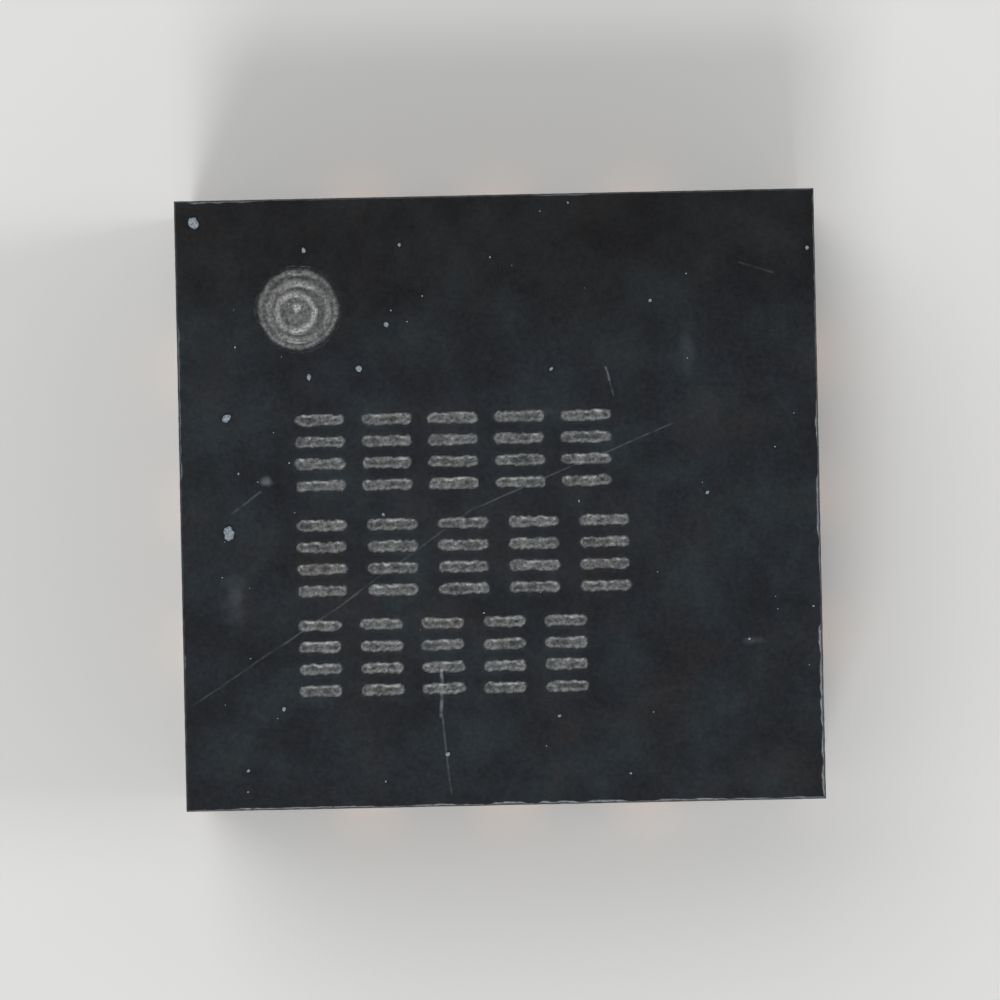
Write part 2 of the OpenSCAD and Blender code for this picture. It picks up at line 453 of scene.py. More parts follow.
@dataclass(frozen=True)
class PlatedCopper(Finish):
    """Etched copper sheet: matte tin below, silver where it is bonded, and bare copper smeared by the saw."""

    copper: str = "#b07256"
    tarnish: str = "#7f4d3a"
    sawn: str = "#cf9b80"
    dragged: str = "#c68f74"  # Sawn copper that the blade has dragged along
    tin: str = "#b9babb"
    silver: str = "#d3d1cb"
    stain: float = 0.09  # Width of the tarnished spots
    crystal: float = 0.014  # Width of the tin's crystals, coarser than the real ones, so that they show
    line: float = 0.006  # Distance between saw lines
    stretch: tuple[float, float, float] = (0.012, 0.012, 1.0)  # Scale that draws them out level
    sawn_depth: float = 0.006  # How far in from a side the saw's smear ends
    plating: float = 0.010  # Thickness of the tin, a pale line at the foot of each sawn end
    relief: float = 0.002  # Height of the crystals

    def paint(self, add: Add) -> Inputs:
        """Adds the tin, the silver, the tarnish and the saw lines, each where it belongs.

        Args:
            add: Adds a node to the material.

        Returns:
            What the shader's inputs get from them.
        """
        coordinates = add("TexCoord").outputs
        place, facing = coordinates["Object"], add("SeparateXYZ", (coordinates["Normal"],))
        above = add("MapRange", (facing.outputs["Z"], 0.5, 0.9))
        point = add("SeparateXYZ", (place,))
        # The tin reaches to just over the underside of the epoxy
        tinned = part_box("mould_body")[0].z + self.line * MM / 4
        below = add("Math", (point.outputs["Z"], tinned), operation="LESS_THAN")
        foot = add("Math", (point.outputs["Z"], self.plating * MM), operation="LESS_THAN")
        ends = 0.0
        for axis, reach in zip("XY", CAD_BOX[1]):
            away = add("Math", (point.outputs[axis],), operation="ABSOLUTE")
            end = add("MapRange", (away, reach - self.sawn_depth * MM, reach - self.sawn_depth * MM / 2))
            ends = add("Math", (ends, end), operation="MAXIMUM")
        stain = add("TexNoise", (place, scale_for(self.stain), 5.0))
        level = add("Mapping", {"Vector": place, "Scale": self.stretch})
        lines = add("TexNoise", (level, scale_for(self.line), 4.0))
        crystals = add("TexVoronoi", {"Vector": place, "Scale": scale_for(self.crystal)})
        cut = add("Mix", (add("MapRange", (lines, 0.35, 0.7)), self.sawn, self.dragged), data_type="RGBA")
        shade = add("MapRange", (add("SeparateColor", (crystals.outputs["Color"],)), 0.0, 1.0, 0.86, 1.06))
        tin = add("Mix", (1.0, self.tin, shade), data_type="RGBA", blend_type="MULTIPLY")
        spots, colour = add("MapRange", (stain, 0.45, 0.68)), self.copper
        layers = ((spots, self.tarnish), (above, self.silver), (below, tin), (ends, cut), (foot, tin))
        for share, layer in layers:
            colour = add("Mix", (share, colour, layer), data_type="RGBA")
        rough = add("MapRange", (stain, *NOISE, self.roughness - 0.08, self.roughness + 0.12))
        grooves = add("Math", (lines, ends), operation="MULTIPLY")
        height = add("Math", (crystals, 0.35, grooves), operation="MULTIPLY_ADD")
        bump = add("Bump", {"Strength": 0.5, "Distance": self.relief * MM, "Height": height})
        return {"Base Color": colour, "Roughness": rough, "Normal": bump}


@dataclass(frozen=True)
class SilverEpoxy(Finish):
    """Epoxy filled with silver flakes, dispensed and cured: dull grey with a glitter of flakes."""

    paste: str = "#9b9da1"
    flake: str = "#d5d6d8"
    flake_size: float = 0.009
    relief: float = 0.0015  # Height of the flakes

    def paint(self, add: Add) -> Inputs:
        """Adds the flakes.

        Args:
            add: Adds a node to the material.

        Returns:
            What the shader's inputs get from them.
        """
        place = add("TexCoord").outputs["Object"]
        flakes = add("TexVoronoi", {"Vector": place, "Scale": scale_for(self.flake_size)})
        tone = add("SeparateColor", (flakes.outputs["Color"],))
        colour = add("Mix", (add("MapRange", (tone, 0.3, 1.0)), self.paste, self.flake), data_type="RGBA")
        bump = add("Bump", {"Strength": 0.7, "Distance": self.relief * MM, "Height": tone})
        return {"Base Color": colour, "Normal": bump}


@dataclass(frozen=True)
class PatternedSilicon(Finish):
    """Silicon with its metal layers under glass above: glossy, and dull at the sides, where it was diced.

    Its tracks are drawn coarser than the real ones, which no picture of the whole part shows.
    """

    field: str = "#39424f"  # The open areas
    block: str = "#5b4d66"  # The dense logic
    metal: str = "#b9ae97"  # The top metal tracks
    diced: str = "#6a6d72"
    dull: float = 0.5  # Roughness of the diced sides
    cell: float = 0.17  # Width of a block of the circuit
    track: float = 0.044  # What the tracks' lengths and distances are shares of
    street: float = 0.02  # Distance from the die's edge to the seal ring

    def paint(self, add: Add) -> Inputs:
        """Adds the blocks, the tracks and the seal ring on the top, and the dull sides.

        Args:
            add: Adds a node to the material.

        Returns:
            What the shader's inputs get from them.
        """
        coordinates = add("TexCoord").outputs
        place, facing = coordinates["Object"], add("SeparateXYZ", (coordinates["Normal"],))
        blocks = add("TexVoronoi", {"Vector": place, "Scale": scale_for(self.cell)}, distance="CHEBYCHEV")
        tones = add("SeparateColor", (blocks.outputs["Color"],))
        turned = add("Mapping", {"Vector": place, "Rotation": (0, 0, math.pi / 2)})
        tracks = []
        for way, length, height in ((place, 1.3, 0.25), (turned, 3.7, 0.4)):
            bricks = {"Vector": way, "Scale": scale_for(self.track), "Mortar Size": 0.05}
            bricks |= {"Brick Width": length, "Row Height": height}
            tracks.append(add("TexBrick", bricks, offset=0.37, offset_frequency=3).outputs["Fac"])
        logic = add("Math", (tones.outputs["Green"], 0.5), operation="GREATER_THAN")
        point, inward = add("SeparateXYZ", (place,)), 1.0
        for axis, reach in zip("XY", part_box("die")[1]):
            away = add("Math", (point.outputs[axis],), operation="ABSOLUTE")
            room = add("Math", (reach, away), operation="SUBTRACT")
            inward = add("Math", (inward, room), operation="MINIMUM")
        street = self.street * MM
        ring = add("Math", (inward, street, street / 6), operation="COMPARE")
        core = add("Math", (inward, street * 1.6), operation="GREATER_THAN")
        inner = add("Math", (add("Mix", (logic, *tracks)), core), operation="MULTIPLY")
        lines = add("Math", (inner, ring), operation="MAXIMUM")
        base = add("Mix", (tones, self.field, self.block), data_type="RGBA")
        wired = add("Mix", (lines, base, self.metal), data_type="RGBA")
        above = add("MapRange", (facing.outputs["Z"], 0.4, 0.9))
        rough = add("MapRange", (above, 0.0, 1.0, self.dull, self.roughness))
        return {"Base Color": add("Mix", (above, self.diced, wired), data_type="RGBA"), "Roughness": rough}


@dataclass(frozen=True)
class DrawnMetal(Finish):
    """A clean soft metal, drawn or sputtered: bright, with faint lines or grains."""

    bright: str = "#eebf5a"
    dull: str = "#d19b3c"  # Painted shade in the hollows between the grains
    grain: float = 0.006  # Width of its grains
    relief: float = 0.0006  # Height of them

    def paint(self, add: Add) -> Inputs:
        """Adds the grains, with painted shade in their hollows.

        Args:
            add: Adds a node to the material.

        Returns:
            What the shader's inputs get from them.
        """
        grains = add("TexNoise", (add("TexCoord").outputs["Object"], scale_for(self.grain), 2.0))
        # Painted shade: the colour darkens where the grains' relief is low
        colour = add("Mix", (grains, self.dull, self.bright), data_type="RGBA")
        bump = add("Bump", {"Strength": 0.3, "Distance": self.relief * MM, "Height": grains})
        return {"Base Color": colour, "Normal": bump}


@dataclass(frozen=True)
class HouseDust(Finish):
    """Pale mineral and fibre dust: matt, a little blue, and darker in its pores."""

    pale: str = "#93a0aa"
    pore: str = "#636c74"
    pore_size: float = 0.006

    def paint(self, add: Add) -> Inputs:
        """Adds the pores.

        Args:
            add: Adds a node to the material.

        Returns:
            What the shader's inputs get from them.
        """
        pores = add("TexNoise", (add("TexCoord").outputs["Object"], scale_for(self.pore_size), 2.0))
        share = add("MapRange", (pores, 0.35, 0.6))
        return {"Base Color": add("Mix", (share, self.pore, self.pale), data_type="RGBA")}


@dataclass(frozen=True)
class WhiteCard(Finish):
    """Matt white card, pressed even: pale, so that it shows the shadows."""

    white: str = "#e6e6e4"

    def paint(self, add: Add) -> Inputs:
        """Leaves the card plain."""
        return {"Base Color": self.white, "Specular IOR Level": 0.2}


def add_piece(mesh: bpy.types.Mesh, slot: Slot, *finishes: Finish) -> Object:
    """Adds a piece, which moves with the object's one body.

    Args:
        mesh: Its mesh, whose name it takes.
        slot: The record's material slot; not used.
        finishes: Its own finishes, one for each material slot of the mesh.

    Returns:
        The piece.
    """
    piece = bpy.data.objects.new(mesh.name, mesh)
    bpy.context.scene.collection.objects.link(piece)
    for finish in finishes:
        mesh.materials.append(finish.make())
    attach(piece, BODY)
    LOG.info("%s: %d faces", mesh.name, len(mesh.polygons))
    return piece


def dress(name: str, material: bpy.types.Material) -> Object:
    """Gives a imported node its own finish.

    Args:
        name: The node's name.
        material: The finish, made.

    Returns:
        The node.
    """
    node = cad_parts[name]
    node.material_slots[0].material = material
    LOG.info("%s: %s", name, material.name)
    return node


def soften(node: Object, radius: float) -> None:
    """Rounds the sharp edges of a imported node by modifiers, which leave its mesh as it is.

    Args:
        node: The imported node.
        radius: The radius of its edges.
    """
    node.modifiers.new("weld", "WELD").merge_threshold = WELD
    bevel = node.modifiers.new("edges", "BEVEL")
    bevel.width, bevel.segments = radius * MM, 2
    bevel.limit_method, bevel.angle_limit = "ANGLE", SHARP
    bevel.use_clamp_overlap = True


@dataclass(frozen=True)
class Chip:
    """A run of small breaks along a top edge of the body, from start to end along X or Y."""

    start: float
    end: float
    depth: float  # How badly it is broken, from 0 to 1


# Breaks along the near and the right edge, and fainter ones on the other two; their pale lips give bright
# dashes, partly bare silica and partly painted highlight
CHIPS = {
    Edge.NEAR: (
        Chip(-0.93, -0.46, 0.40), Chip(-0.34, -0.18, 0.55), Chip(-0.05, 0.06, 0.85), Chip(0.12, 0.24, 1.00),
        Chip(0.28, 0.41, 0.75), Chip(0.53, 0.76, 0.60), Chip(0.79, 0.90, 0.40), Chip(0.96, 1.10, 0.60),
    ),
    Edge.RIGHT: (
        Chip(0.19, 0.31, 0.65), Chip(-0.15, 0.06, 0.60), Chip(-0.24, -0.18, 0.60), Chip(-1.05, -0.46, 0.90),
    ),
    Edge.LEFT: (Chip(-0.56, -0.52, 0.70), Chip(0.10, 0.62, 0.35)),
    Edge.FAR: (Chip(-1.06, -0.83, 0.50), Chip(0.15, 0.32, 0.30)),
}


@dataclass(frozen=True)
class Ledge:
    """One row of vertices across a broken edge."""

    inset: float  # How far in it lies, as a share of the break's width
    drop: float  # How far down it lies, as a share of the break's depth
    bright: float  # How pale it is painted there, from 0 to 1: bare silica, and partly a painted highlight


# The outer part of a break is steep and dark, and its inner lip is painted pale, partly as bare silica and
# partly as a painted highlight of the line that shines
LEDGES = (
    Ledge(0.0, 1.0, 0.0), Ledge(0.25, 0.5, 0.0), Ledge(0.45, 0.25, 0.1),
    Ledge(0.6, 0.14, 1.0), Ledge(0.82, 0.05, 1.0), Ledge(1.0, 0.0, 0.3),
)


@dataclass(frozen=True)
class Ring:
    """One round of the beam in the dot, which has left a ridge of melted silica."""

    radius: float
    across: float  # How far its centre lies from the dot's along X
    up: float  # How far its centre lies from the dot's along Y
    width: float  # Half width of the ridge
    foam: float  # How far the ridge has foamed, from 0 to 1


# The knob in the middle on its low hump, two rings that run a little off centre, and the rim
RINGS = (
    Ring(0.0, -0.006, 0.005, 0.017, 1.0),
    Ring(0.0, -0.004, 0.0, 0.075, 0.36),
    Ring(0.063, -0.011, -0.010, 0.0120, 0.84),
    Ring(0.100, 0.002, -0.010, 0.0120, 0.53),
    Ring(0.132, 0.0, 0.0, 0.0105, 0.43),
)


@dataclass(frozen=True)
class LaserDot:
    """The pin 1 dot, burnt by a laser that ran round in rings."""

    x: float
    y: float
    radius: float
    depth: float
    ridge: float = 0.012  # Height of the ridges
    wall: float = 0.009  # Width of its wall
    verge: float = 0.021  # Width of the border in which the foam sets in
    loose: float = 0.05  # Radius from which a ring runs unevenly
    foam: float = 0.15  # How far the epoxy has foamed between the ridges, from 0 to 1
    ridge_foam: float = 0.8  # How much further on them

    def burn(self, x: Array, y: Array) -> tuple[Array, Array]:
        """Burns the dot into the plane of the top face.

        Args:
            x: Places along X.
            y: Places along Y.

        Returns:
            Heights above that plane, and how far the epoxy has foamed, which is most along the ridges.
        """
        shake = grain(x, y, reach=0.0035, size=0.04, seed=12)
        swell = grain(x, y, reach=0.22, size=0.04, seed=13) - 0.1
        crest = np.zeros(np.shape(x))
        for ring in RINGS:
            loose = min(1, ring.radius / self.loose)
            distance = np.hypot(x - self.x - ring.across, y - self.y - ring.up) + loose * shake
            bump = np.exp(-(((distance - ring.radius) / ring.width) ** 2))
            crest = np.maximum(crest, ring.foam * bump * (1 + loose * swell))
        crest = np.clip(crest, 0, 1)
        height = self.ridge * (crest - 0.5) + grain(x, y, reach=0.0007, size=0.012, seed=14) - self.depth
        foam = self.foam + self.ridge_foam * crest**1.6 + grain(x, y, reach=0.07, size=0.02, seed=15)
        distance = np.hypot(x - self.x, y - self.y) + grain(x, y, reach=0.0015, size=0.02, seed=11)
        floor, bed = (ease(distance, self.radius, self.radius - width) for width in (self.wall, self.verge))
        return height * floor, foam * bed


@dataclass(frozen=True)
class LaserMarking:
    """Three rows of five plain blocks, each hatched by a laser, where such a part is marked."""

    left: float = -0.70  # Where the rows start
    rows: tuple[float, ...] = (0.174, -0.188, -0.531)  # Middle of each row along Y
    widths: tuple[float, ...] = (1.085, 1.142, 0.99)  # Length of each row
    block_widths: tuple[float, ...] = (0.17, 0.17, 0.145)  # Width of a block in each row
    count: int = 5  # Blocks in a row
    block_height: float = 0.26
    strokes: int = 4  # Strokes in a block
    stroke: float = 0.0345  # Width of a stroke
    depth: float = 0.006  # Depth of a stroke
    swelling: float = 0.0012  # Height to which the epoxy has swollen beside a stroke
    foam: float = 0.186  # How far it has foamed in a stroke, from 0 to 1
    lip: float = 0.116  # How much further along the stroke's sides
    # How far out from a stroke's side each of these starts and ends
    wall: tuple[float, float] = (0.002, -0.012)
    swelling_rise: tuple[float, float] = (-0.003, 0.003)
    swelling_fall: tuple[float, float] = (0.012, 0.003)
    foam_rise: tuple[float, float] = (0.003, -0.004)
    lip_rise: tuple[float, float] = (-0.013, -0.006)

    def burn(self, x: Array, y: Array) -> tuple[Array, Array]:
        """Burns the marking into the plane of the top face.

        Args:
            x: Places along X.
            y: Places along Y.

        Returns:
            Heights above that plane, and how far the epoxy has foamed, most along the strokes' sides.
        """
        nearest = np.full(np.shape(x), 1.0)
        rise = (self.block_height - self.stroke) / (self.strokes - 1)
        for middle, width, block_width in zip(self.rows, self.widths, self.block_widths):
            step = (width - block_width) / (self.count - 1)
            for block, stroke in np.ndindex(self.count, self.strokes):
                centre = self.left + block * step + block_width / 2
                level = middle + (stroke - (self.strokes - 1) / 2) * rise
                reach = np.abs(x - centre) - (block_width - self.stroke) / 2
                nearest = np.minimum(nearest, np.hypot(np.maximum(reach, 0), y - level) - self.stroke / 2)
        distance = nearest + grain(x, y, reach=0.0035, size=0.012, seed=21)
        distance += grain(x, y, reach=0.002, size=0.05, seed=22)
        trough = ease(distance, *self.wall) * (0.5 + grain(x, y, reach=0.5, size=0.013, seed=23))
        swollen = ease(distance, *self.swelling_fall) * ease(distance, *self.swelling_rise)
        foam = self.foam + self.lip * ease(distance, *self.lip_rise)
        foam += grain(x, y, reach=0.144, size=0.016, seed=24)
        return self.swelling * swollen - self.depth * trough, foam * ease(distance, *self.foam_rise)


@dataclass(frozen=True)
class Band:
    """A stretch of an axis in which mesh lines lie close."""

    start: float
    end: float
    step: float  # Distance between the lines


@dataclass
class Sheet:
    """Vertices and faces of a mesh in the making."""

    points: list[Array] = field(default_factory=list)  # Blocks of vertices, in metres
    faces: list[Sequence[int]] = field(default_factory=list)  # Faces as numbers of vertices
    skins: list[int] = field(default_factory=list)  # Material slot of each face
    count: int = 0  # Vertices so far

    def add_points(self, points: Array) -> Array:
        """Adds vertices.

        Args:
            points: One row for each vertex, in millimetres.

        Returns:
            The numbers that they got.
        """
        self.points.append(points * MM)
        self.count += len(points)
        return np.arange(self.count - len(points), self.count)

    def add_faces(self, faces: Sequence[Sequence[int]], skin: Skin) -> None:
        """Adds faces of one material."""
        self.faces.extend(faces)
        self.skins.extend([int(skin)] * len(faces))


def share_round(points: Array) -> Array:
    """Tells how far round the origin points lie.

    Args:
        points: Places along X and Y, all round one rectangle or circle.

    Returns:
        From 0 at the near left corner to 4, with each side counting 1.
    """
    across, up = (points / np.abs(points).max(axis=0)).T
    turn = np.arctan2(up, across) + 3 / 4 * math.pi + TINY
    return turn % (2 * math.pi) / (math.pi / 2)


def rim_of(grid: Array) -> Array:
    """Takes the outermost values of a grid, anticlockwise from its near left corner."""
    return np.concatenate([grid[0, :-1], grid[:-1, -1], grid[-1, :0:-1], grid[:0:-1, 0]])


def join_rows(outer: Array, inner: Array) -> list[list[int]]:
    """Joins two closed rows of as many vertices, anticlockwise from above, with quads."""
    return np.stack([outer, np.roll(outer, -1), np.roll(inner, -1), inner], axis=1).tolist()


def zip_rows(outer: Array, outer_share: Array, inner: Array, inner_share: Array) -> list[tuple[int, ...]]:
    """Joins two closed rows of unlike counts with triangles. Both start at the same corner.

    An inner row of one vertex is the middle of a fan.

    Args:
        outer: Vertex numbers of the outer row, anticlockwise from above.
        outer_share: How far round each of them lies, from 0 to 4.
        inner: Vertex numbers of the inner row.
        inner_share: How far round each of those lies.

    Returns:
        The faces.
    """
    faces = []
    i = j = 0
    outer_end, inner_end = len(outer), len(inner) if len(inner) > 1 else 0
    outer_next, inner_next = np.append(outer_share[1:], 4.0), np.append(inner_share[1:], 4.0)
    while i < outer_end or j < inner_end:
        if j == inner_end or (i < outer_end and outer_next[i] <= inner_next[j]):
            faces.append((int(outer[i]), int(outer[(i + 1) % outer_end]), int(inner[j % len(inner)])))
            i += 1
        else:
            faces.append((int(inner[(j + 1) % inner_end]), int(inner[j]), int(outer[i % outer_end])))
            j += 1
    return faces


@dataclass
class MouldedBody:
    """The epoxy block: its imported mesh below, and finer walls, edges and top face above."""

    node: str = "mould_body"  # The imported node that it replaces
    wall_start: float = 0.02  # Height above the leads from which the walls are drawn finer
    crown: float = 0.05  # Depth under the top face in which only the dot has vertices
    shallow: float = 0.001  # Depth from which a vertex counts as below that face
    dot_step: float = 0.0031  # Distance between vertices in the dot
    wall_step: float = 0.0015  # Distance between the rings of vertices in its wall
    mark_step: float = 0.0050  # Distance between mesh lines at the marking
    plain_step: float = 0.03  # Distance between mesh lines elsewhere
    rim_step: float = 0.0065  # Distance between vertices along the edges
    rim: float = 0.03  # Width of the plain border in which the two steps meet
    margin: float = 0.01  # Width of the plain strip round the dot and the marking
    worn: float = 0.006  # Width of the edge where it is only worn
    broken: float = 0.010  # How much wider it is where it is worst broken
    fade: float = 0.015  # How far on either side of its ends a break sets in
    stray_in: float = 0.12  # How far a row of a break strays inwards, as a share of its width
    stray_down: float = 0.15  # How far it strays down, as a share of its depth
    worn_pale_and_highlight: float = 0.12  # How pale the edge is painted where it is only worn: bare silica and a faint painted highlight

    def __post_init__(self) -> None:
        """Takes the block's sizes and the dot's place from the frame."""
        self.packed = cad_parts[self.node].data
        self.half_x, self.half_y, self.top = (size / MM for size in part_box(self.node)[1])
        self.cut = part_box("lead_01")[1].z / MM + self.wall_start
        self.dot = self.find_dot()
        self.marking = LaserMarking()

    def find_dot(self) -> LaserDot:
        """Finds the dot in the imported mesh: its floor is the only level just under the top face.

        Returns:
            The dot.
        """
        corners = np.array([vertex.co for vertex in self.packed.vertices]) / MM
        depths = self.top - corners[:, 2]
        floor = corners[(depths > self.shallow) & (depths < self.crown)]
        low, high = floor.min(axis=0), floor.max(axis=0)
        x, y = (low[:2] + high[:2]) / 2
        return LaserDot(float(x), float(y), float(high[0] - low[0]) / 2, self.top - float(high[2]))

    def on_wall(self, face: bmesh.types.BMFace) -> bool:
        """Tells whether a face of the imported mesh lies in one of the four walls."""
        x, y, _ = face.calc_center_median()
        return min(abs(abs(x) - self.half_x * MM), abs(abs(y) - self.half_y * MM)) < ON_WALL

    def lower_part(self, sheet: Sheet) -> tuple[Array, Array]:
        """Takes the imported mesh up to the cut, with every hollow inside it.

        Args:
            sheet: The mesh in the making.

        Returns:
            Numbers of the vertices round the cut, in order, and how far round they lie.
        """
        mesh = bmesh.new()
        mesh.from_mesh(self.packed)
        bmesh.ops.remove_doubles(mesh, verts=mesh.verts, dist=WELD)
        crown = (self.top - self.crown) * MM
        outside = [f for f in mesh.faces if self.on_wall(f) or min(vertex.co.z for vertex in f.verts) > crown]
        parts = list(dict.fromkeys(part for face in outside for part in (face, *face.edges, *face.verts)))
        level = Vector((0, 0, self.cut * MM))
        bmesh.ops.bisect_plane(
            mesh, geom=parts, dist=WELD, plane_co=level, plane_no=(0, 0, 1), clear_outer=True
        )
        mesh.verts.index_update()
        points = np.array([vertex.co for vertex in mesh.verts]) / MM
        numbers = sheet.add_points(points)
        for face in mesh.faces:
            corners = [int(numbers[vertex.index]) for vertex in face.verts]
            sheet.add_faces([corners], Skin.SAWN if self.on_wall(face) else Skin.INNER)
        rim = np.array([vertex.index for vertex in mesh.verts if vertex.is_boundary])
        mesh.free()
        share = share_round(points[rim, :2])
        order = np.argsort(share)
        return numbers[rim[order]], share[order]

    def outline(self) -> Array:
        """Lays fine places round the outline.

        Returns:
            Them along X and Y, anticlockwise from the near left corner.
        """
        corners, half = np.array([(-1, -1), (1, -1), (1, 1), (-1, 1)]), np.array((self.half_x, self.half_y))
        runs = []
        for edge in Edge:
            way = corners[(edge + 1) % len(Edge)] - corners[edge]
            count = round(np.abs(way * half).max() / self.rim_step)
            runs.append(corners[edge] + way * np.arange(count)[:, None] / count)
        return np.vstack(runs) * half

    def chip_depths(self, places: Array) -> Array:
        """Gives how badly the edge is broken all round.

        Args:
            places: Places along X and Y on the outline.

        Returns:
            From 0 where it is only worn to 1.
        """
        x, y = places.T
        sides = {
            Edge.NEAR: (y <= TINY - self.half_y, x),
            Edge.RIGHT: (x >= self.half_x - TINY, y),
            Edge.FAR: (y >= self.half_y - TINY, x),
            Edge.LEFT: (x <= TINY - self.half_x, y),
        }
        rag = np.clip(0.72 + grain(x + 3, y + 3, reach=0.6, size=0.028, seed=31), 0, 1)
        depth = np.zeros(len(places))
        for edge, (here, along) in sides.items():
            for chip in CHIPS[edge]:
                fade = min(self.fade, (chip.end - chip.start) / 3)
                run = ease(along, chip.start - fade, chip.start + fade)
                run *= ease(along, chip.end + fade, chip.end - fade)
                depth = np.where(here, np.maximum(depth, chip.depth * run * rag), depth)
        return depth

    def edge_rows(self, sheet: Sheet) -> tuple[list[Array], Array, list[Array]]:
        """Lays the rows of vertices from the wall over the broken edge to the plain border.

        Args:
            sheet: The mesh in the making.

        Returns:
            The rows from the outermost in, how far round their vertices lie, and how pale each row is
            painted, as bare silica and painted highlight.
        """
        places = self.outline()
        x, y = places.T
        chips, plain = self.chip_depths(places), np.zeros(len(places))
        widths = self.worn * (1 + grain(x, y, reach=0.25, size=0.02, seed=32)) + self.broken * chips
        depths = widths * (0.9 + grain(x, y, reach=0.4, size=0.025, seed=33))
        bands = []
        for row, ledge in enumerate(LEDGES):
            jag = 4 * ledge.inset * (1 - ledge.inset) * grain(x, y, reach=1, size=0.012, seed=40 + row)
            inset = widths * (ledge.inset + self.stray_in * jag)
            drop = depths * (ledge.drop + self.stray_down * jag)
            bands.append((inset, drop, ledge.bright * (self.worn_pale_and_highlight + (1 - self.worn_pale_and_highlight) * chips)))
        bands += [(widths + self.worn / 4, plain, plain), (plain + self.rim, plain, plain)]
        rows = []
        for inset, drop, _ in bands:
            flat_x, flat_y = x * (self.half_x - inset) / self.half_x, y * (self.half_y - inset) / self.half_y
            rows.append(sheet.add_points(np.stack([flat_x, flat_y, self.top - drop], axis=1)))
        return rows, share_round(places), [bare for *_, bare in bands]

    def mesh_lines(self, half: float, bands: list[Band]) -> Array:
        """Spaces mesh lines along one axis, closer in some bands.

        Args:
            half: Half the length of the axis.
            bands: Where they lie closer.

        Returns:
            The places of the lines.
        """
        marks = sorted({-half, half, *(mark for band in bands for mark in (band.start, band.end))})
        lines = [-half]
        for start, end in zip(marks, marks[1:]):
            middle = (start + end) / 2
            step = min([self.plain_step, *(band.step for band in bands if band.start <= middle <= band.end)])
            count = max(1, math.ceil((end - start) / step - TINY))
            lines.extend((start + (end - start) * (k + 1) / count) for k in range(count))
        return np.array(lines)

    def top_grid(self, sheet: Sheet) -> tuple[Array, Array, Array]:
        """Lays the top face inside its border, with the dot and the marking in relief.

        Args:
            sheet: The mesh in the making.

        Returns:
            The vertices round its edge, how far round they lie, and how far each new vertex is lasered.
        """
        dot, marking, margin = self.dot, self.marking, self.margin
        reach, tall, inset = dot.radius + margin, marking.block_height / 2 + margin, self.rim + margin
        # Lines run along the sides of the hole for the dot, but no closer there
        x_bands, y_bands = ([Band(at - reach, at + reach, self.plain_step)] for at in (dot.x, dot.y))
        right = marking.left + max(marking.widths)
        x_bands.append(Band(marking.left - margin, right + margin, self.mark_step))
        y_bands += [Band(row - tall, row + tall, self.mark_step) for row in marking.rows]
        lines_x = self.mesh_lines(self.half_x - inset, x_bands)
        lines_y = self.mesh_lines(self.half_y - inset, y_bands)
        x, y = np.meshgrid(lines_x, lines_y)
        solid = np.maximum(np.abs(x - dot.x), np.abs(y - dot.y)) > reach - TINY
        relief, laser = marking.burn(x, y)
        numbers = np.full(x.shape, -1)
        numbers[solid] = sheet.add_points(np.stack([x, y, self.top + relief], axis=-1)[solid])
        quads = np.stack([numbers[:-1, :-1], numbers[:-1, 1:], numbers[1:, 1:], numbers[1:, :-1]], axis=-1)
        beside = np.abs((lines_x[1:] + lines_x[:-1]) / 2 - dot.x) > reach
        beyond = np.abs((lines_y[1:] + lines_y[:-1]) / 2 - dot.y) > reach
        sheet.add_faces(quads[beside[None, :] | beyond[:, None]].tolist(), Skin.TOP)
        columns = np.flatnonzero(np.abs(lines_x - dot.x) < reach + TINY)
        rows = np.flatnonzero(np.abs(lines_y - dot.y) < reach + TINY)
        hole = np.ix_(rows, columns)
        hole_places = np.stack([rim_of(x[hole]) - dot.x, rim_of(y[hole]) - dot.y], axis=1)
        dot_laser = self.dot_patch(sheet, rim_of(numbers[hole]), share_round(hole_places))
        share = share_round(np.stack([rim_of(x), rim_of(y)], axis=1))
        return rim_of(numbers), share, np.concatenate([laser[solid], dot_laser])

    def dot_patch(self, sheet: Sheet, rim: Array, rim_share: Array) -> Array:
        """Fills the hole in the grid with rings of triangles, which follow the dot's round wall.

        Args:
            sheet: The mesh in the making.
            rim: Numbers of the vertices round the hole.
            rim_share: How far round they lie.

        Returns:
            How far each new vertex is lasered.
        """
        dot = self.dot
        brink, foot = dot.radius + self.margin / 2, dot.radius - self.margin
        wall = np.linspace(brink, foot, round((brink - foot) / self.wall_step), endpoint=False)
        floor = np.linspace(foot, 0, round(foot / self.dot_step) + 1)
        outer, outer_share, lasers = rim, rim_share, []
        for radius in (*wall, *floor):
            count = max(1, round(2 * math.pi * radius / self.dot_step))
            # Each ring starts at its near left, as the hole does
            turn = 2 * math.pi * (np.arange(count) / count - 3 / 8)
            x, y = dot.x + radius * np.cos(turn), dot.y + radius * np.sin(turn)
            relief, laser = dot.burn(x, y)
            inner = sheet.add_points(np.stack([x, y, self.top + relief], axis=1))
            inner_share = 4 * np.arange(count) / count
            sheet.add_faces(zip_rows(outer, outer_share, inner, inner_share), Skin.TOP)
            lasers.append(laser)
            outer, outer_share = inner, inner_share
        return np.clip(np.concatenate(lasers), 0, 1)

